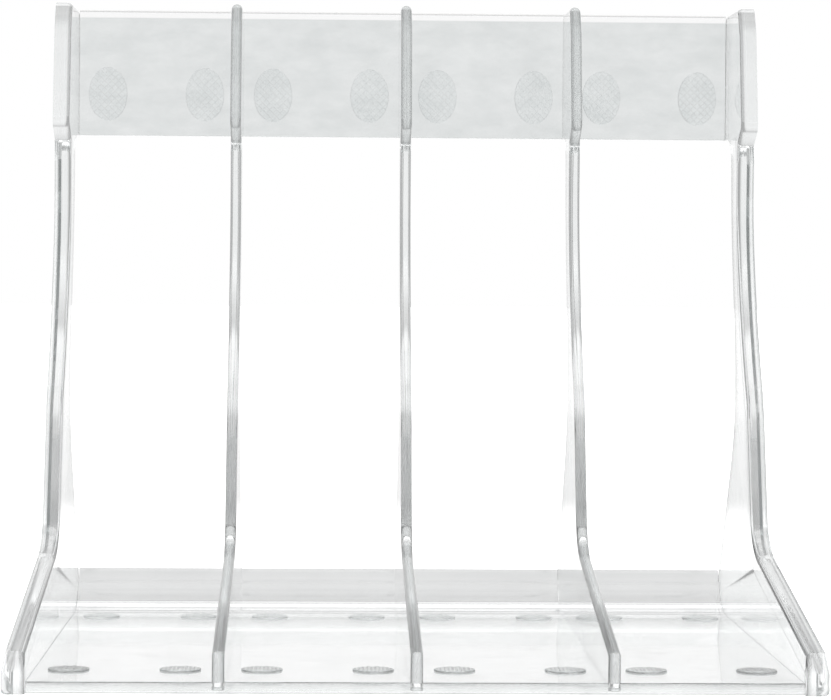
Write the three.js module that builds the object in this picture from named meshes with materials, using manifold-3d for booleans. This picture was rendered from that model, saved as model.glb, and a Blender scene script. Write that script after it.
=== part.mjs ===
// A clear plastic rack for four upright stacks of casino chips.
//
// Five profiled walls stand side by side on a floor plate. The three inner ones are plain
// dividers. The two outer ones are thicker at the head and carry a stiffening rim along their
// front edge. A panel closes the head of the rack at the back, and a low upstand with a cove
// along its foot closes the back of the floor. Thin grip pads with a knurled face sit on the
// floor and on the front of the panel.
//
// Millimetres. +Z is up, the front faces -Y and +X is to the right. The origin is at the
// middle of the footprint, on the surface that the rack stands on.

import * as THREE from 'three';
import { mergeVertices } from 'three/addons/utils/BufferGeometryUtils.js';
import Module from 'manifold-3d';

const wasm = await Module();
wasm.setup();

// ---------------------------------------------------------------- driving dimensions

const chipDiameter = 39;
const chipClearance = 2.2;
const bayCount = 4;
const wallThickness = 2.8;

const rackHeight = 162.8;
const rackDepth = 149;

// The side view: distances behind the toe's front face, and heights above the foot.
const toeHeight = 9.7;
const kneeBehindToe = 83;
const kneeHeight = 24.8;
const bladeFrontBend = { behind: 95.5, height: 61 };
const bladeFrontTop = { behind: 117, height: 113 };
const bladeFrontNeck = { behind: 116.8, height: 127.2 };
const crest = { behind: 110, height: 130.9 };
const crestLeg = 2.2;
const headFrontTop = { behind: 114.8, height: 155.8 };
const headFacetTop = { behind: 118.2, height: 161.4 };
const headBack = 145;
const headBottomHeight = 129.4;
const bladeBackTop = { behind: 129.3, height: 121 };
const bladeBackBend = { behind: 118, height: 62 };
const footSweepTop = { behind: 125.7, height: 41.8 };
const footSweepEnd = { behind: 143, height: 17 };

const rimReach = 1.4;
const rimDepth = 5;
const toeFlare = 1.1;
const toeCornerRadius = 1.4;

const panelThickness = 2.8;
const panelTopRadius = 0.9;

const floorThickness = 2.6;
const floorSetback = 1.4;
const hookThickness = 1.3;
const hookHeight = 1;

const coveStart = 130;
const coveTop = { behind: 144.8, height: 10 };
const coveLean = 0.4;
const upstandThickness = 2.8;
const upstandHeight = 12.9;
const upstandRadius = 0.8;

const padThickness = 0.3;
const padFaceShare = 0.97;
const floorPadDiameter = 9.5;
const floorPadSpread = 12.7;
const floorPadRows = [21.5, 123.5];
const wallPadWidth = 10.2;
const wallPadHeight = 14.3;
const wallPadSpread = 12.9;
const wallPadCentreHeight = 140.4;

const cementGap = 0.1;
const curveSteps = 10;
const padSegments = 28;

// ---------------------------------------------------------------- derived sizes

const bayWidth = chipDiameter + chipClearance;
const wallPitch = bayWidth + wallThickness;
const innerHalfWidth = (bayCount * wallPitch - wallThickness) / 2;
const outerHalfWidth = innerHalfWidth + wallThickness;
const panelFront = headBack - panelThickness;
const upstandFront = rackDepth - upstandThickness;
const toeFront = -rackDepth / 2;

// ---------------------------------------------------------------- materials

const clearStyrene = new THREE.MeshStandardMaterial({
  color: 0xeef0f0,
  roughness: 0.06,
  metalness: 0,
  transparent: true,
  opacity: 0.35,
});

const clearVinyl = new THREE.MeshStandardMaterial({
  color: 0xc9cccc,
  roughness: 0.4,
  metalness: 0,
  transparent: true,
  opacity: 0.6,
});

// ---------------------------------------------------------------- solids

// An outline drawn in the side view, stood across the rack from x = from to x = to.
function standAcross(outline, from, to) {
  const geometry = new THREE.ExtrudeGeometry(outline, {
    depth: to - from,
    bevelEnabled: false,
    curveSegments: curveSteps,
  });
  const behindToe = new THREE.Vector3(0, 1, 0);
  const up = new THREE.Vector3(0, 0, 1);
  const right = new THREE.Vector3(1, 0, 0);
  geometry.applyMatrix4(new THREE.Matrix4().makeBasis(behindToe, up, right));
  return geometry.translate(from, toeFront, 0);
}

function toSolid(geometry) {
  const bare = geometry.clone();
  bare.deleteAttribute('normal');
  bare.deleteAttribute('uv');
  const merged = mergeVertices(bare);
  return new wasm.Manifold(new wasm.Mesh({
    numProp: 3,
    vertProperties: new Float32Array(merged.attributes.position.array),
    triVerts: new Uint32Array(merged.index.array),
  }));
}

function toGeometry(solid) {
  const mesh = solid.getMesh();
  const geometry = new THREE.BufferGeometry();
  geometry.setAttribute('position', new THREE.BufferAttribute(mesh.vertProperties, 3));
  geometry.setIndex(new THREE.BufferAttribute(mesh.triVerts, 1));
  geometry.computeVertexNormals();
  return geometry;
}

// ---------------------------------------------------------------- side-view outlines

// The point that lies a given distance from one point towards another.
function stepTowards(from, to, distance) {
  const share = distance / Math.hypot(to.behind - from.behind, to.height - from.height);
  return [
    from.behind + share * (to.behind - from.behind),
    from.height + share * (to.height - from.height),
  ];
}

// The head's front edge, from the neck up: a short face looking down, a rounded crest, a face
// that leans back a little, and a sloping facet that rounds into the top.
function drawHeadFront(path) {
  path.lineTo(...stepTowards(crest, bladeFrontNeck, crestLeg));
  path.quadraticCurveTo(crest.behind, crest.height, ...stepTowards(crest, headFrontTop, crestLeg));
  path.lineTo(headFrontTop.behind, headFrontTop.height);
  path.lineTo(headFacetTop.behind, headFacetTop.height);
  path.quadraticCurveTo(headFacetTop.behind + 0.9, rackHeight, headFacetTop.behind + 3.2, rackHeight);
}

// The front edge below the head, from the top of the toe up: a low sloping shoulder, a knee,
// a swept blade and a neck.
function drawBladeFront(path) {
  path.lineTo(0, toeHeight);
  path.lineTo(kneeBehindToe - 9, kneeHeight - 1.7);
  path.quadraticCurveTo(kneeBehindToe, kneeHeight, kneeBehindToe + 3.5, kneeHeight + 6);
  path.lineTo(bladeFrontBend.behind, bladeFrontBend.height);
  path.bezierCurveTo(
    bladeFrontBend.behind + 7.5, bladeFrontBend.height + 10.5,
    bladeFrontTop.behind, bladeFrontTop.height - 17,
    bladeFrontTop.behind, bladeFrontTop.height,
  );
  path.bezierCurveTo(
    bladeFrontTop.behind, bladeFrontTop.height + 6,
    bladeFrontNeck.behind, bladeFrontNeck.height - 3,
    bladeFrontNeck.behind, bladeFrontNeck.height,
  );
}

// The rear edge, from the top down: a straight head, the step under it, the back of the
// blade, and the foot sweeping out to the back of the floor.
function drawRearEdge(path, back) {
  path.lineTo(back, rackHeight);
  path.lineTo(back, headBottomHeight);
  path.lineTo(back - 6, headBottomHeight);
  path.quadraticCurveTo(
    bladeBackTop.behind + 0.2, headBottomHeight,
    bladeBackTop.behind, bladeBackTop.height,
  );
  path.bezierCurveTo(
    bladeBackTop.behind - 0.7, bladeBackTop.height - 26,
    bladeBackBend.behind, bladeBackBend.height + 22,
    bladeBackBend.behind, bladeBackBend.height,
  );
  path.quadraticCurveTo(
    bladeBackBend.behind, bladeBackBend.height - 10,
    footSweepTop.behind, footSweepTop.height,
  );
  path.lineTo(footSweepEnd.behind, footSweepEnd.height);
}

function endWallOutline() {
  const outline = new THREE.Shape();
  outline.moveTo(0, 0);
  drawBladeFront(outline);
  drawHeadFront(outline);
  drawRearEdge(outline, headBack);
  outline.quadraticCurveTo(rackDepth, coveTop.height, rackDepth, coveTop.height - 6);
  outline.lineTo(rackDepth, 0);
  return outline;
}

// A divider hooks over the floor's front edge, stands on the floor, and is cut at the back to
// the cove of the upstand.
function dividerOutline() {
  const gap = 3 * cementGap;
  const outline = new THREE.Shape();
  outline.moveTo(0, hookHeight);
  drawBladeFront(outline);
  drawHeadFront(outline);
  drawRearEdge(outline, panelFront - cementGap);
  outline.lineTo(upstandFront - gap, upstandHeight);
  outline.lineTo(upstandFront - gap, coveTop.height + gap);
  outline.lineTo(coveTop.behind - gap, coveTop.height + gap);
  outline.quadraticCurveTo(
    coveTop.behind - coveLean - gap, floorThickness + coveLean + gap,
    coveStart - 3 * gap, floorThickness + cementGap,
  );
  outline.lineTo(hookThickness, floorThickness + cementGap);
  outline.lineTo(hookThickness, hookHeight);
  return outline;
}

// The rim is a band behind the front edge: the same edge, and the edge again moved back and
// down by the rim's depth, cut off at the foot. At the head it runs all the way to the back.
function rimOutline() {
  const edge = new THREE.Path();
  edge.moveTo(0, 0);
  drawBladeFront(edge);
  const band = edge.getPoints(curveSteps).map((point) => new THREE.Vector2(
    point.x + rimDepth,
    Math.max(point.y - rimDepth, 0),
  ));
  const outline = new THREE.Shape();
  outline.moveTo(0, 0);
  drawBladeFront(outline);
  drawHeadFront(outline);
  outline.lineTo(headBack, rackHeight);
  outline.lineTo(headBack, headBottomHeight);
  outline.lineTo(bladeFrontNeck.behind + rimDepth + 3, headBottomHeight);
  for (const point of band.reverse()) {
    outline.lineTo(point.x, point.y);
  }
  return outline;
}

function floorOutline() {
  const outline = new THREE.Shape();
  const lipRadius = 1;
  outline.moveTo(floorSetback + 0.5, 0);
  outline.lineTo(floorSetback, 0.5);
  outline.lineTo(floorSetback, floorThickness - lipRadius);
  outline.quadraticCurveTo(
    floorSetback, floorThickness,
    floorSetback + lipRadius, floorThickness,
  );
  outline.lineTo(coveStart - cementGap, floorThickness);
  outline.lineTo(coveStart - cementGap, 0);
  return outline;
}

function upstandOutline() {
  const outline = new THREE.Shape();
  outline.moveTo(coveStart, 0);
  outline.lineTo(coveStart, floorThickness);
  outline.quadraticCurveTo(
    coveTop.behind - coveLean, floorThickness + coveLean,
    coveTop.behind, coveTop.height,
  );
  outline.lineTo(upstandFront, coveTop.height);
  outline.lineTo(upstandFront, upstandHeight);
  outline.lineTo(rackDepth - upstandRadius, upstandHeight);
  outline.quadraticCurveTo(
    rackDepth, upstandHeight,
    rackDepth, upstandHeight - upstandRadius,
  );
  outline.lineTo(rackDepth, 0);
  return outline;
}

function panelOutline() {
  const outline = new THREE.Shape();
  outline.moveTo(panelFront, headBottomHeight);
  outline.lineTo(panelFront, rackHeight - panelTopRadius);
  outline.quadraticCurveTo(
    panelFront, rackHeight,
    panelFront + panelTopRadius, rackHeight,
  );
  outline.lineTo(headBack, rackHeight);
  outline.lineTo(headBack, headBottomHeight);
  return outline;
}

// ---------------------------------------------------------------- pieces

// The toe of an end wall flares out a little at the front, with a rounded bottom corner.
function toeFlareGeometry(side) {
  const inner = outerHalfWidth - 1;
  const rimFace = outerHalfWidth + rimReach;
  const outer = rimFace + toeFlare;
  const outline = new THREE.Shape();
  outline.moveTo(side * inner, 0);
  outline.lineTo(side * (outer - toeCornerRadius), 0);
  outline.quadraticCurveTo(side * outer, 0, side * outer, toeCornerRadius);
  outline.lineTo(side * outer, toeHeight / 2);
  outline.lineTo(side * rimFace, toeHeight);
  outline.lineTo(side * inner, toeHeight);
  const geometry = new THREE.ExtrudeGeometry(outline, {
    depth: rimDepth,
    bevelEnabled: false,
    curveSegments: curveSteps,
  });
  const right = new THREE.Vector3(1, 0, 0);
  const up = new THREE.Vector3(0, 0, 1);
  const forward = new THREE.Vector3(0, -1, 0);
  geometry.applyMatrix4(new THREE.Matrix4().makeBasis(right, up, forward));
  return geometry.translate(0, toeFront + rimDepth, 0);
}

// side is -1 for the left wall and +1 for the right one. The rim starts half way into the
// sheet, so that the two join into one body.
function endWallGeometry(side) {
  const sheetEdges = [side * innerHalfWidth, side * outerHalfWidth];
  const rimEdges = [side * (innerHalfWidth + wallThickness / 2), side * (outerHalfWidth + rimReach)];
  const sheet = toSolid(standAcross(endWallOutline(), Math.min(...sheetEdges), Math.max(...sheetEdges)));
  const rim = toSolid(standAcross(rimOutline(), Math.min(...rimEdges), Math.max(...rimEdges)));
  const flare = toSolid(toeFlareGeometry(side));
  return toGeometry(sheet.add(rim).add(flare));
}

function dividerGeometry(centreX) {
  return standAcross(dividerOutline(), centreX - wallThickness / 2, centreX + wallThickness / 2);
}

function betweenEndWalls(outline) {
  const halfWidth = innerHalfWidth - cementGap;
  return standAcross(outline, -halfWidth, halfWidth);
}

// A pad is a thin disc or oval whose edge draws in towards its face. It is made facing +Y.
function padGeometry(width, height) {
  const geometry = new THREE.CylinderGeometry(padFaceShare, 1, padThickness, padSegments);
  return geometry.scale(width / 2, 1, height / 2);
}

function addPiece(group, name, geometry, material) {
  const mesh = new THREE.Mesh(geometry, material);
  mesh.name = name;
  group.add(mesh);
  return mesh;
}

function buildWalls() {
  const walls = new THREE.Group();
  addPiece(walls, 'end_wall_left', endWallGeometry(-1), clearStyrene);
  addPiece(walls, 'end_wall_right', endWallGeometry(1), clearStyrene);
  const dividerNames = ['divider_left', 'divider_centre', 'divider_right'];
  dividerNames.forEach((name, index) => {
    addPiece(walls, name, dividerGeometry((index - 1) * wallPitch), clearStyrene);
  });
  return walls;
}

function buildTray() {
  const tray = new THREE.Group();
  addPiece(tray, 'floor_plate', betweenEndWalls(floorOutline()), clearStyrene);
  addPiece(tray, 'rear_upstand', betweenEndWalls(upstandOutline()), clearStyrene);
  addPiece(tray, 'top_panel', betweenEndWalls(panelOutline()), clearStyrene);
  return tray;
}

function bayCentre(bay) {
  return (bay - (bayCount - 1) / 2) * wallPitch;
}

function buildWallPads() {
  const pads = new THREE.Group();
  const faceY = toeFront + panelFront - cementGap - padThickness / 2;
  for (let bay = 0; bay < bayCount; bay += 1) {
    [-1, 1].forEach((side, column) => {
      const name = `wall_pad_${2 * bay + column + 1}`;
      const pad = addPiece(pads, name, padGeometry(wallPadWidth, wallPadHeight), clearVinyl);
      pad.rotation.x = Math.PI;
      pad.position.set(bayCentre(bay) + side * wallPadSpread, faceY, wallPadCentreHeight);
    });
  }
  return pads;
}

function buildFloorPads() {
  const pads = new THREE.Group();
  const faceZ = floorThickness + cementGap + padThickness / 2;
  let count = 0;
  for (let bay = 0; bay < bayCount; bay += 1) {
    for (const behindToe of floorPadRows) {
      for (const side of [-1, 1]) {
        count += 1;
        const geometry = padGeometry(floorPadDiameter, floorPadDiameter);
        const pad = addPiece(pads, `floor_pad_${count}`, geometry, clearVinyl);
        pad.rotation.x = Math.PI / 2;
        pad.position.set(bayCentre(bay) + side * floorPadSpread, toeFront + behindToe, faceZ);
      }
    }
  }
  return pads;
}

const chipRack = new THREE.Group();
chipRack.name = 'chip_rack';
chipRack.add(buildWalls(), buildTray(), buildWallPads(), buildFloorPads());

export default chipRack;
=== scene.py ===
import math

import bmesh
import bpy
from mathutils import Matrix, Vector


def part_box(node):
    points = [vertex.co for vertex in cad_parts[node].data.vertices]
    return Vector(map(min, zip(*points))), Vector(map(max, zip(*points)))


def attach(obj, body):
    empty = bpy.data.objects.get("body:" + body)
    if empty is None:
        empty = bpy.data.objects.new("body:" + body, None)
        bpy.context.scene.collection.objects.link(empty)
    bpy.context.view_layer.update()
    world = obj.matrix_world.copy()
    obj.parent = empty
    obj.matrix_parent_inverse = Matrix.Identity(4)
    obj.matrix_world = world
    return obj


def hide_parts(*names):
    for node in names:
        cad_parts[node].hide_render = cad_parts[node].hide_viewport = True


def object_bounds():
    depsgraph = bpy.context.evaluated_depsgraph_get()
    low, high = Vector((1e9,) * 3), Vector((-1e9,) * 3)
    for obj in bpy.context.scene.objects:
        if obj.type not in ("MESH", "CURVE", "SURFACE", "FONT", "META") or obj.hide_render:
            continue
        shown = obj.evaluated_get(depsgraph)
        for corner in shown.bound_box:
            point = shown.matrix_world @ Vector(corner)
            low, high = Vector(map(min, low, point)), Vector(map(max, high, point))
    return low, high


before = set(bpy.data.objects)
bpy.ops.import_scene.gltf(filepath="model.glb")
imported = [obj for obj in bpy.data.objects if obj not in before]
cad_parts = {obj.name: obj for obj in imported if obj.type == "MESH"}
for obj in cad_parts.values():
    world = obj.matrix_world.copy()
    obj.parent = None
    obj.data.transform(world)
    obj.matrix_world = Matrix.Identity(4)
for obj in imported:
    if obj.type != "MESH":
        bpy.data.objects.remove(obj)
cad_box = [list(corner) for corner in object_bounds()]

# ------------------------------------------------------------------ studio
# A glossy white table, a white card standing behind the rack, and a white cloth overhead. The
# rest of the room is grey, and clear plastic shows it as the dark lines along its edges.

MM = 0.001

# The camera's place: left of the middle, in front of the toes, and above the table.
CAMERA_LEFT, CAMERA_FRONT, CAMERA_UP = 21.6 * MM, 654 * MM, 95.3 * MM
CAMERA_TURN, CAMERA_DIP, CAMERA_TILT = map(math.radians, (1.82, -1.64, 0.4))
CAMERA_LENS, CAMERA_SENSOR, CAMERA_REACH = 128.5, 36, 20

# Brightness is 1 for white. The card is full within its middle angle and gone by its edge.
CARD_WIDE, CARD_TALL = 1.3, 0.8
CARD_EDGE, CARD_MIDDLE = math.cos(math.radians(40)), math.cos(math.radians(14))
ROOM_LIGHT = 0.45
CLOTH_EDGE, CLOTH_MIDDLE, CLOTH_LIGHT = 0.35, 0.75, 1.0

# The table carries painted light: it glows under the rack, least in a painted shadow along the
# rack's back, again in a painted pool of light behind it, and a little far away. Distances are in
# metres from the rack's middle.
TABLE_SIZE, TABLE_DROP = 12, 0.3 * MM
TABLE_UNDER, TABLE_SHADE, TABLE_POOL, TABLE_FAR = 0.52, 0.42, 0.62, 0.25
SHADE_START, SHADE_END = 0.05, 0.056
POOL_START, POOL_FULL, POOL_FADE, POOL_END = 0.12, 0.17, 0.36, 0.5
POOL_LEFT_OVER = 0.3
FAR_START, FAR_END = 0.75, 1.3

SOFTBOX_HEIGHT, SOFTBOX_SIZE, SOFTBOX_WATTS = 0.9, 0.9, 2


def linear(hex_colour):
    """An sRGB hex colour as the linear red, green, blue and alpha that a socket takes."""
    channels = [int(hex_colour[i:i + 2], 16) / 255 for i in (1, 3, 5)]
    return [c / 12.92 if c <= 0.04045 else ((c + 0.055) / 1.055) ** 2.4 for c in channels] + [1]


def add_node(tree, kind, links=(), **settings):
    """One node with its settings and inputs. A setting whose name is a socket's goes to that
    socket, and any other is set on the node. links are (input name, node, output name)."""
    node = tree.nodes.new(kind)
    for name, value in settings.items():
        if hasattr(node, name):
            setattr(node, name, value)
    for name, value in settings.items():
        if not hasattr(node, name):
            node.inputs[name.replace("_", " ")].default_value = value
    for socket, source, output in links:
        tree.links.new(source.outputs[output], node.inputs[socket])
    return node


def make_camera():
    """Stands level with the middle of the rack, a little left of it, and looks slightly down."""
    toe_front = cad_box[0][1]
    place = Vector((-CAMERA_LEFT, toe_front - CAMERA_FRONT, CAMERA_UP))
    level = Vector((math.sin(CAMERA_TURN), math.cos(CAMERA_TURN), 0))
    ahead = level * math.cos(CAMERA_DIP) + Vector((0, 0, math.sin(CAMERA_DIP)))
    right = Vector((level.y, -level.x, 0))
    up = right.cross(ahead)
    tilted_right = right * math.cos(CAMERA_TILT) + up * math.sin(CAMERA_TILT)
    tilted_up = up * math.cos(CAMERA_TILT) - right * math.sin(CAMERA_TILT)
    data = bpy.data.cameras.new("camera")
    data.sensor_width = CAMERA_SENSOR
    data.lens = CAMERA_LENS
    data.clip_end = CAMERA_REACH
    camera = bpy.data.objects.new("camera", data)
    bpy.context.scene.collection.objects.link(camera)
    rotation = Matrix((tilted_right, tilted_up, -ahead)).transposed()
    camera.matrix_world = Matrix.Translation(place) @ rotation.to_4x4()
    bpy.context.scene.camera = camera


def make_surround():
    """The grey room with its card and cloth. Looked at directly, the room is white."""
    world = bpy.data.worlds.new("studio")
    bpy.context.scene.world = world
    world.use_nodes = True
    tree = world.node_tree
    tree.nodes.clear()
    place = add_node(tree, "ShaderNodeTexCoord")
    shape = add_node(tree, "ShaderNodeMapping", [("Vector", place, "Generated")],
                     Scale=(CARD_WIDE, 1, CARD_TALL))
    aim = add_node(tree, "ShaderNodeVectorMath", operation="NORMALIZE")
    tree.links.new(shape.outputs["Vector"], aim.inputs[0])
    parts = add_node(tree, "ShaderNodeSeparateXYZ", [("Vector", aim, "Vector")])
    card = add_node(tree, "ShaderNodeMapRange", [("Value", parts, "Y")],
                    interpolation_type="SMOOTHSTEP",
                    From_Min=CARD_EDGE, From_Max=CARD_MIDDLE, To_Min=ROOM_LIGHT, To_Max=1.0)
    direction = add_node(tree, "ShaderNodeSeparateXYZ", [("Vector", place, "Generated")])
    cloth = add_node(tree, "ShaderNodeMapRange", [("Value", direction, "Z")],
                     interpolation_type="SMOOTHSTEP",
                     From_Min=CLOTH_EDGE, From_Max=CLOTH_MIDDLE, To_Min=0.0, To_Max=CLOTH_LIGHT)
    lit = add_node(tree, "ShaderNodeMath", operation="MAXIMUM")
    tree.links.new(card.outputs["Result"], lit.inputs[0])
    tree.links.new(cloth.outputs["Result"], lit.inputs[1])
    seen = add_node(tree, "ShaderNodeLightPath")
    level = add_node(tree, "ShaderNodeMath", operation="MAXIMUM")
    tree.links.new(lit.outputs[0], level.inputs[0])
    tree.links.new(seen.outputs["Is Camera Ray"], level.inputs[1])
    glow = add_node(tree, "ShaderNodeBackground", [("Strength", level, "Value")],
                    Color=linear("#ffffff"))
    add_node(tree, "ShaderNodeOutputWorld", [("Surface", glow, "Background")])


def make_table():
    """White laminate that glows with painted light, with a painted shadow along the rack's back.
    Looked at directly, it is white all over.
    """
    bpy.ops.mesh.primitive_plane_add(size=TABLE_SIZE, location=(0, 0, -TABLE_DROP))
    table = bpy.context.active_object
    table.name = "table"
    paint = bpy.data.materials.new("white_laminate_painted_glow")
    paint.use_nodes = True
    tree = paint.node_tree
    shader = tree.nodes["Principled BSDF"]
    shader.inputs["Base Color"].default_value = linear("#969696")
    shader.inputs["Roughness"].default_value = 0.08
    shader.inputs["Emission Color"].default_value = linear("#ffffff")
    place = add_node(tree, "ShaderNodeTexCoord")
    away = add_node(tree, "ShaderNodeVectorMath", operation="LENGTH")
    tree.links.new(place.outputs["Object"], away.inputs[0])
    back = add_node(tree, "ShaderNodeSeparateXYZ", [("Vector", place, "Object")])
    # Painted light: a glow under the rack, a painted shadow along its back, a painted pool behind
    # it.
    under = add_node(tree, "ShaderNodeMapRange", [("Value", back, "Y")],
                     interpolation_type="SMOOTHSTEP",
                     From_Min=SHADE_START, From_Max=SHADE_END,
                     To_Min=TABLE_UNDER, To_Max=TABLE_SHADE)
    rise = add_node(tree, "ShaderNodeMapRange", [("Value", away, "Value")],
                    interpolation_type="SMOOTHSTEP",
                    From_Min=POOL_START, From_Max=POOL_FULL, To_Min=0.0, To_Max=TABLE_POOL)
    fall = add_node(tree, "ShaderNodeMapRange", [("Value", away, "Value")],
                    interpolation_type="SMOOTHSTEP",
                    From_Min=POOL_FADE, From_Max=POOL_END,
                    To_Min=1.0, To_Max=POOL_LEFT_OVER)
    pool = add_node(tree, "ShaderNodeMath", operation="MAXIMUM")
    tree.links.new(under.outputs["Result"], pool.inputs[0])
    tree.links.new(rise.outputs["Result"], pool.inputs[1])
    near = add_node(tree, "ShaderNodeMath", operation="MULTIPLY")
    tree.links.new(pool.outputs[0], near.inputs[0])
    tree.links.new(fall.outputs["Result"], near.inputs[1])
    far = add_node(tree, "ShaderNodeMapRange", [("Value", away, "Value")],
                   interpolation_type="SMOOTHSTEP",
                   From_Min=FAR_START, From_Max=FAR_END, To_Min=0.0, To_Max=TABLE_FAR)
    lit = add_node(tree, "ShaderNodeMath", operation="MAXIMUM")
    tree.links.new(near.outputs[0], lit.inputs[0])
    tree.links.new(far.outputs["Result"], lit.inputs[1])
    seen = add_node(tree, "ShaderNodeLightPath")
    glow = add_node(tree, "ShaderNodeMath", operation="MAXIMUM")
    tree.links.new(lit.outputs[0], glow.inputs[0])
    tree.links.new(seen.outputs["Is Camera Ray"], glow.inputs[1])
    # The emission is painted light and painted shadow, laid on by place on the table.
    tree.links.new(glow.outputs[0], shader.inputs["Emission Strength"])
    table.data.materials.append(paint)


def add_soft_light(name, place, aim, size, power):
    data = bpy.data.lights.new(name, "AREA")
    data.shape = "RECTANGLE"
    data.size, data.size_y = size
    data.energy = power
    light = bpy.data.objects.new(name, data)
    bpy.context.scene.collection.objects.link(light)
    light.location = place
    light.rotation_euler = (Vector(aim) - Vector(place)).to_track_quat("-Z", "Y").to_euler()


make_camera()
make_surround()
make_table()
add_soft_light("overhead_softbox", (0, 0, SOFTBOX_HEIGHT), (0, 0, 0),
               (SOFTBOX_SIZE, SOFTBOX_SIZE), SOFTBOX_WATTS)

# Light goes through many faces of clear plastic before it leaves, so its bounces aren't cut short.
scene = bpy.context.scene
scene.view_settings.view_transform = "Standard"
scene.cycles.max_bounces = 64
scene.cycles.transmission_bounces = 64
scene.cycles.glossy_bounces = 32
scene.cycles.transparent_max_bounces = 16

# ------------------------------------------------------------------ end walls
# Two profiled walls of clear polystyrene, moulded in a polished tool. Each is thicker at its
# head and has a rim down its front edge, and the edge that faces the chips is fully rounded.

NOSE_RADIUS, NOSE_STEPS = 1.3 * MM, 6
EASED_RADIUS, EASED_STEPS = 0.4 * MM, 3
SAME_POINT = 0.002 * MM
SAME_PLACE = 0.01 * MM
FLAT_WITHIN, SHARP_BEYOND, SMOOTH_WITHIN = map(math.radians, (0.5, 30, 35))


def select_only(piece):
    bpy.ops.object.select_all(action="DESELECT")
    piece.select_set(True)
    bpy.context.view_layer.objects.active = piece


def copy_node(node, name):
    """A merged copy of a CAD node, with its flat faces made whole again."""
    select_only(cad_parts[node])
    bpy.ops.object.duplicate()
    piece = bpy.context.active_object
    piece.name = name
    piece.data.name = name
    piece.parent = None
    for key in [k for k in piece.keys() if k.startswith("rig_")]:
        del piece[key]
    bpy.ops.object.mode_set(mode="EDIT")
    bpy.ops.mesh.select_all(action="SELECT")
    bpy.ops.mesh.remove_doubles(threshold=SAME_POINT)
    bpy.ops.mesh.dissolve_limited(angle_limit=FLAT_WITHIN)
    bpy.ops.mesh.select_all(action="DESELECT")
    bpy.ops.object.mode_set(mode="OBJECT")
    return piece


def round_edges(piece, chosen, radius, segments):
    """Rounds the edges that chosen(middle, normals of the two faces) picks."""
    select_only(piece)
    bpy.ops.object.mode_set(mode="EDIT")
    bpy.ops.mesh.select_mode(type="EDGE")
    bpy.ops.mesh.select_all(action="DESELECT")
    shape = bmesh.from_edit_mesh(piece.data)
    for edge in shape.edges:
        middle = (edge.verts[0].co + edge.verts[1].co) / 2
        first, second = (face.normal for face in edge.link_faces)
        if first.angle(second) > SHARP_BEYOND and chosen(middle, first, second):
            edge.select = True
    shape.select_flush_mode()
    bmesh.update_edit_mesh(piece.data)
    bpy.ops.mesh.bevel(offset=radius, offset_type="OFFSET", segments=segments, profile=0.5,
                       affect="EDGES", clamp_overlap=False)
    bpy.ops.object.mode_set(mode="OBJECT")


def finish_piece(piece, material, node):
    select_only(piece)
    bpy.ops.object.shade_smooth_by_angle(angle=SMOOTH_WITHIN)
    bpy.ops.object.modifier_add(type="WEIGHTED_NORMAL")
    piece.modifiers[-1].keep_sharp = True
    bpy.ops.object.modifier_apply(modifier=piece.modifiers[-1].name)
    piece.data.materials.clear()
    piece.data.materials.append(material)
    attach(piece, "root")
    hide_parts(node)


def faces_side(normal):
    return abs(normal.x) > 0.9


def faces_front_or_top(normal):
    return (normal.y < -0.05 or normal.z > 0.97) and abs(normal.x) < 0.9


def pair(first, second, test_a, test_b):
    """Whether one of an edge's two normals passes test_a and the other one test_b."""
    return (test_a(first) and test_b(second)) or (test_a(second) and test_b(first))


# General-purpose polystyrene: colourless, glossy and hard, and its high refraction (1.59) draws
# lively edges. Flow in the mould leaves it a little wavy and cloudy, a wall's narrow edges carry
# the fine lines and the haze of the cutter that made the tool, and handling leaves scratches.
# The lines and the scratches are drawn coarser than they are, so that they show.
SCRATCH_LENGTH, SCRATCH_WIDTH = 12 * MM, 0.3 * MM
LINE_SPACING = 0.5 * MM


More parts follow.
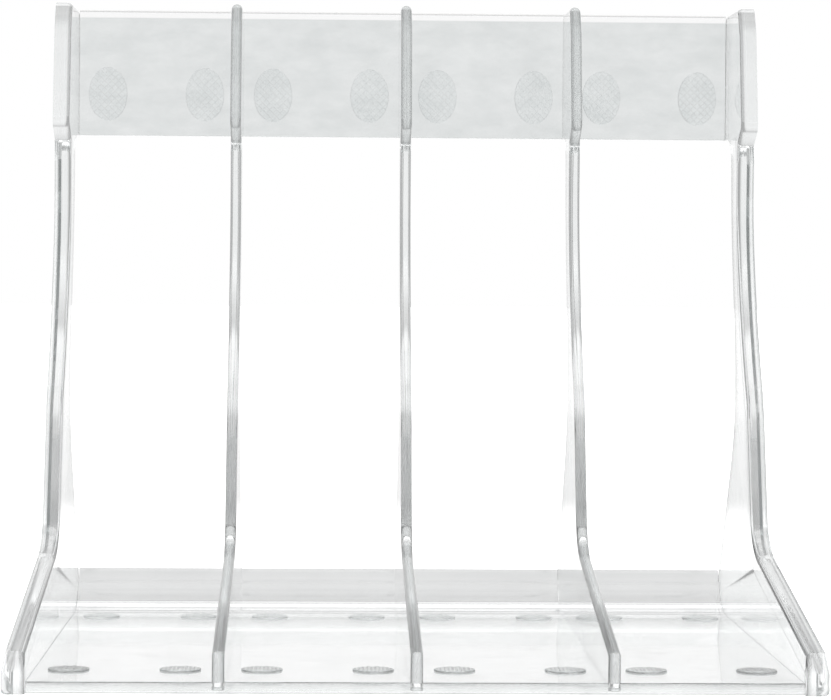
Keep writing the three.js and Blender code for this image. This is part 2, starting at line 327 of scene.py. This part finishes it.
def make_clear_styrene(name, tints, cloud_size, wave_size, wave_height, edge_haze, line_depth,
                       painted_highlight_above):
    """tints are the clear and the cloudy colour. Above the height given last, the tint is left out
    as a painted highlight.
    """
    material = bpy.data.materials.new(name)
    material.use_nodes = True
    tree = material.node_tree
    shader = tree.nodes["Principled BSDF"]
    place = add_node(tree, "ShaderNodeTexCoord")

    cloud_run = add_node(tree, "ShaderNodeMapping", [("Vector", place, "Object")],
                         Scale=(0.5 / cloud_size, 1 / cloud_size, 1 / cloud_size))
    cloud = add_node(tree, "ShaderNodeTexNoise", [("Vector", cloud_run, "Vector")],
                     Scale=1.0, Detail=4.0, Roughness=0.6)
    cloudy = add_node(tree, "ShaderNodeMapRange", [("Value", cloud, "Fac")],
                      From_Min=0.3, From_Max=0.7)
    tint = add_node(tree, "ShaderNodeMix", data_type="RGBA")
    tint.inputs[6].default_value = linear(tints[0])
    tint.inputs[7].default_value = linear(tints[1])
    tree.links.new(cloudy.outputs["Result"], tint.inputs[0])
    along = add_node(tree, "ShaderNodeSeparateXYZ", [("Vector", place, "Object")])
    # Above the given height the tint is left out: a painted highlight along the top edge.
    below_painted_highlight = add_node(tree, "ShaderNodeMapRange", [("Value", along, "Z")],
                       From_Min=painted_highlight_above, From_Max=painted_highlight_above + 0.1 * MM,
                       To_Min=1.0, To_Max=0.0)
    body = add_node(tree, "ShaderNodeMix", data_type="RGBA")
    body.inputs[6].default_value = linear("#ffffff")
    tree.links.new(below_painted_highlight.outputs["Result"], body.inputs[0])
    tree.links.new(tint.outputs[2], body.inputs[7])
    tree.links.new(body.outputs[2], shader.inputs["Base Color"])

    facing = add_node(tree, "ShaderNodeSeparateXYZ", [("Vector", place, "Normal")])
    sideways = add_node(tree, "ShaderNodeMath", operation="ABSOLUTE")
    tree.links.new(facing.outputs["X"], sideways.inputs[0])
    edge = add_node(tree, "ShaderNodeMapRange", [("Value", sideways, "Value")],
                    From_Min=0.95, From_Max=0.5)

    scratch_run = add_node(tree, "ShaderNodeMapping", [("Vector", place, "Object")],
                           Rotation=(0.7, 0.6, 0.4),
                           Scale=(1 / SCRATCH_LENGTH, 1 / SCRATCH_LENGTH, 1 / SCRATCH_WIDTH))
    scratch = add_node(tree, "ShaderNodeTexNoise", [("Vector", scratch_run, "Vector")],
                       Scale=1.0, Detail=2.0)
    scratched = add_node(tree, "ShaderNodeMapRange", [("Value", scratch, "Fac")],
                         From_Min=0.62, From_Max=0.75, To_Min=0.03, To_Max=0.09)
    haze = add_node(tree, "ShaderNodeMath", operation="MULTIPLY_ADD")
    haze.inputs[1].default_value = edge_haze
    tree.links.new(edge.outputs["Result"], haze.inputs[0])
    tree.links.new(scratched.outputs["Result"], haze.inputs[2])
    tree.links.new(haze.outputs[0], shader.inputs["Roughness"])

    tool_lines = add_node(tree, "ShaderNodeTexNoise", [("W", along, "X")],
                          noise_dimensions="1D", Scale=1 / LINE_SPACING, Detail=2.0)
    on_edge = add_node(tree, "ShaderNodeMath", operation="MULTIPLY")
    tree.links.new(tool_lines.outputs["Fac"], on_edge.inputs[0])
    tree.links.new(edge.outputs["Result"], on_edge.inputs[1])
    lines = add_node(tree, "ShaderNodeBump", [("Height", on_edge, "Value")],
                     Strength=0.25, Distance=line_depth)
    flow = add_node(tree, "ShaderNodeTexNoise", [("Vector", place, "Object")],
                    Scale=1 / wave_size, Detail=2.0, Roughness=0.5)
    waves = add_node(tree, "ShaderNodeBump", [("Height", flow, "Fac"), ("Normal", lines, "Normal")],
                     Strength=1.0, Distance=wave_height)
    tree.links.new(waves.outputs["Normal"], shader.inputs["Normal"])
    shader.inputs["IOR"].default_value = 1.59
    shader.inputs["Transmission Weight"].default_value = 1
    return material


wall_styrene = make_clear_styrene("clear_styrene_wall", ("#f7f8f8", "#eef0f0"), 12 * MM,
                                  9 * MM, 0.01 * MM, edge_haze=0.08, line_depth=0.05 * MM,
                                  painted_highlight_above=cad_box[1][2])

for side in ("left", "right"):
    node = "end_wall_" + side
    wall = copy_node(node, "end_wall_sheet_" + side)
    lowest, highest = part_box(node)
    inner_x = highest.x if side == "left" else lowest.x
    round_edges(wall,
                lambda m, a, b: (abs(m.x - inner_x) < SAME_PLACE
                                 and pair(a, b, faces_side, faces_front_or_top)),
                NOSE_RADIUS, NOSE_STEPS)
    finish_piece(wall, wall_styrene, node)

# ------------------------------------------------------------------ dividers
# Three walls of the same profile and plastic. The front and top edges are rounded, so that a
# chip slides past them, and the back edges are eased. Each foot is cemented to the floor.

CEMENT_BED = 0.12 * MM
FOOT_BAND = 0.5 * MM
UPSTAND_CLEARANCE = 2 * MM

floor_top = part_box("floor_plate")[1].z
upstand_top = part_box("rear_upstand")[1].z


def faces_back(normal):
    return normal.y > 0.05 and normal.z < 0.97 and abs(normal.x) < 0.9


def push_faces(piece, chosen, shift):
    """Moves the faces that chosen(middle, normal) picks, to bed a cemented face into its
    neighbour. Light then passes through the joint, as it does through set cement."""
    select_only(piece)
    bpy.ops.object.mode_set(mode="EDIT")
    bpy.ops.mesh.select_mode(type="FACE")
    bpy.ops.mesh.select_all(action="DESELECT")
    shape = bmesh.from_edit_mesh(piece.data)
    for face in shape.faces:
        face.select = chosen(face.calc_center_median(), face.normal)
    shape.select_flush_mode()
    bmesh.update_edit_mesh(piece.data)
    bpy.ops.transform.translate(value=shift)
    bpy.ops.object.mode_set(mode="OBJECT")


for side in ("left", "centre", "right"):
    node = "divider_" + side
    divider = copy_node(node, "divider_sheet_" + side)
    push_faces(divider, lambda m, n: n.z < -0.95 and abs(m.z - floor_top) < FOOT_BAND,
               (0, 0, -CEMENT_BED))
    round_edges(divider, lambda m, a, b: pair(a, b, faces_side, faces_front_or_top),
                NOSE_RADIUS, NOSE_STEPS)
    round_edges(divider,
                lambda m, a, b: (m.z > upstand_top + UPSTAND_CLEARANCE
                                 and pair(a, b, faces_side, faces_back)),
                EASED_RADIUS, EASED_STEPS)
    finish_piece(divider, wall_styrene, node)

# ------------------------------------------------------------------ floor
# One flat plate between the end walls, with a rounded front lip. Chips sliding in and out
# have left it finely scuffed. Its tint is lighter than the walls' as painted light.

# Tints lighter than the walls' are painted light, shared with the upstand.
floor_styrene_painted_light = make_clear_styrene("clear_styrene_floor_painted_light", ("#fdfefe", "#f5f6f6"), 10 * MM,
                                   11 * MM, 0.012 * MM, edge_haze=0.03, line_depth=0,
                                   painted_highlight_above=cad_box[1][2])
floor_piece = copy_node("floor_plate", "floor_moulding")
push_faces(floor_piece, lambda m, n: n.y > 0.95, (0, CEMENT_BED, 0))
finish_piece(floor_piece, floor_styrene_painted_light, "floor_plate")

# ------------------------------------------------------------------ upstand
# A low plate across the back of the floor, with a cove along its foot that keeps dirt out of
# the corner. It is moulded with the same flow marks as the floor, and shares its lighter tint of
# painted light.

upstand_piece = copy_node("rear_upstand", "upstand_moulding")
finish_piece(upstand_piece, floor_styrene_painted_light, "rear_upstand")

# ------------------------------------------------------------------ panel
# A plate across the back of the head. It is the widest unbroken face, and the clouding from the
# flow in the mould shows most here. Its tint is greyer than the walls' as painted shade, and a band
# under its rounded top edge is left untinted as a painted highlight.

PAINTED_HIGHLIGHT_BAND = 2 * MM
PANEL_TOP_RADIUS, PANEL_TOP_STEPS = 0.8 * MM, 5

# Greyer tints than the walls' are painted shade; the untinted top band is a painted highlight.
panel_styrene_painted_shade = make_clear_styrene("clear_styrene_panel_painted_shade", ("#eceeee", "#dde0e0"), 5 * MM,
                                   7 * MM, 0.02 * MM, edge_haze=0.03, line_depth=0,
                                   painted_highlight_above=cad_box[1][2] - PAINTED_HIGHLIGHT_BAND)
panel_piece = copy_node("top_panel", "panel_moulding")


def faces_down(normal):
    return normal.z < -0.9


def faces_up(normal):
    return normal.z > 0.9


def faces_across(normal):
    return abs(normal.y) > 0.9


def faces_rear(normal):
    return normal.y > 0.9


round_edges(panel_piece, lambda m, a, b: pair(a, b, faces_down, faces_across),
            EASED_RADIUS, EASED_STEPS)
round_edges(panel_piece, lambda m, a, b: pair(a, b, faces_up, faces_rear),
            PANEL_TOP_RADIUS, PANEL_TOP_STEPS)
finish_piece(panel_piece, panel_styrene_painted_shade, "top_panel")

# ------------------------------------------------------------------ grip pads
# Thin stick-on pads of clear vinyl: two ovals to a bay on the panel, and four discs to a bay on
# the floor. Crossed grooves cut each face into small diamonds, which stop a stack creeping.

GROOVE_PITCH = 1.3 * MM
GROOVE_HALF_WIDTH = 0.2 * MM
GROOVE_DEPTH = 0.08 * MM
PAD_EDGE_RADIUS = 0.18 * MM
PAD_OUTLINE_STEPS = 64
DUST_SIZE = 1.2 * MM


# Plasticised vinyl, cast clear: softer and duller than the styrene, a shade greyer, with a
# refraction of 1.53, and the grooved face holds a little dust.
def make_clear_vinyl():
    material = bpy.data.materials.new("clear_vinyl_pad")
    material.use_nodes = True
    tree = material.node_tree
    shader = tree.nodes["Principled BSDF"]
    place = add_node(tree, "ShaderNodeTexCoord")
    dust = add_node(tree, "ShaderNodeTexNoise", [("Vector", place, "Object")],
                    Scale=1 / DUST_SIZE, Detail=4.0, Roughness=0.6)
    dusty = add_node(tree, "ShaderNodeMapRange", [("Value", dust, "Fac")],
                     From_Min=0.4, From_Max=0.7)
    tint = add_node(tree, "ShaderNodeMix", data_type="RGBA")
    tint.inputs[6].default_value = linear("#feffff")
    tint.inputs[7].default_value = linear("#f6f8f8")
    tree.links.new(dusty.outputs["Result"], tint.inputs[0])
    tree.links.new(tint.outputs[2], shader.inputs["Base Color"])
    dull = add_node(tree, "ShaderNodeMapRange", [("Value", dust, "Fac")],
                    From_Min=0.3, From_Max=0.7, To_Min=0.03, To_Max=0.09)
    tree.links.new(dull.outputs["Result"], shader.inputs["Roughness"])
    shader.inputs["IOR"].default_value = 1.53
    shader.inputs["Transmission Weight"].default_value = 1
    return material


def make_pad(name, width, height, thickness):
    """A pad lying face up at the origin, its back at z = -CEMENT_BED: a grooved slab, cut to an
    oval with an eased rim."""
    cells = math.ceil(1.5 * max(width, height) / GROOVE_PITCH)
    bpy.ops.object.select_all(action="DESELECT")
    bpy.ops.mesh.primitive_grid_add(x_subdivisions=cells, y_subdivisions=cells,
                                    size=cells * GROOVE_PITCH)
    slab = bpy.context.active_object
    slab.name = name
    slab.data.name = name
    bpy.ops.object.mode_set(mode="EDIT")
    bpy.ops.mesh.select_all(action="SELECT")
    bpy.ops.transform.rotate(value=math.radians(45), orient_axis="Z", center_override=(0, 0, 0))
    bpy.ops.transform.translate(value=(0, 0, thickness - GROOVE_DEPTH))
    bpy.ops.mesh.inset(thickness=GROOVE_HALF_WIDTH, depth=GROOVE_DEPTH, use_individual=True)
    bpy.ops.mesh.select_all(action="SELECT")
    bpy.ops.mesh.region_to_loop()
    drop = thickness - GROOVE_DEPTH + CEMENT_BED
    bpy.ops.mesh.extrude_region_move(TRANSFORM_OT_translate={"value": (0, 0, -drop)})
    bpy.ops.mesh.edge_face_add()
    bpy.ops.mesh.select_all(action="SELECT")
    bpy.ops.mesh.normals_make_consistent(inside=False)
    bpy.ops.object.mode_set(mode="OBJECT")

    bpy.ops.object.select_all(action="DESELECT")
    bpy.ops.mesh.primitive_cylinder_add(vertices=PAD_OUTLINE_STEPS, radius=0.5, depth=4 * thickness,
                                        location=(0, 0, -thickness))
    cutter = bpy.context.active_object
    cutter.scale = (width, height, 1)
    bpy.ops.object.transform_apply(location=True, rotation=True, scale=True)
    bpy.ops.object.mode_set(mode="EDIT")
    bpy.ops.mesh.select_mode(type="FACE")
    bpy.ops.mesh.select_all(action="DESELECT")
    shape = bmesh.from_edit_mesh(cutter.data)
    for face in shape.faces:
        face.select = face.normal.z > 0.9
    bmesh.update_edit_mesh(cutter.data)
    bpy.ops.mesh.region_to_loop()
    bpy.ops.mesh.bevel(offset=PAD_EDGE_RADIUS, segments=2, profile=0.5, affect="EDGES")
    bpy.ops.object.mode_set(mode="OBJECT")

    select_only(slab)
    bpy.ops.object.modifier_add(type="BOOLEAN")
    slab.modifiers[-1].operation = "INTERSECT"
    slab.modifiers[-1].object = cutter
    bpy.ops.object.modifier_apply(modifier=slab.modifiers[-1].name)
    bpy.data.objects.remove(cutter)
    return slab


def place_pad(master, name, node, centre_back, rotation):
    """A copy of the pad with its back at centre_back, standing for the CAD node."""
    select_only(master)
    bpy.ops.object.duplicate()
    pad = bpy.context.active_object
    pad.name = name
    pad.data.name = name
    pad.location = centre_back
    pad.rotation_euler = rotation
    bpy.ops.object.transform_apply(location=True, rotation=True, scale=True)
    pad.data.materials.clear()
    pad.data.materials.append(pad_vinyl)
    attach(pad, "root")
    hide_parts(node)


pad_vinyl = make_clear_vinyl()

low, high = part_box("wall_pad_1")
oval = make_pad("oval_pad_master", high.x - low.x, high.z - low.z, high.y - low.y)
for number in range(1, 9):
    low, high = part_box(f"wall_pad_{number}")
    back = Vector(((low.x + high.x) / 2, high.y, (low.z + high.z) / 2))
    place_pad(oval, f"oval_grip_{number}", f"wall_pad_{number}", back, (math.radians(90), 0, 0))
bpy.data.objects.remove(oval)

low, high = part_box("floor_pad_1")
disc = make_pad("disc_pad_master", high.x - low.x, high.y - low.y, high.z - low.z)
for number in range(1, 17):
    low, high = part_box(f"floor_pad_{number}")
    back = Vector(((low.x + high.x) / 2, (low.y + high.y) / 2, low.z))
    place_pad(disc, f"disc_grip_{number}", f"floor_pad_{number}", back, (0, 0, 0))
bpy.data.objects.remove(disc)
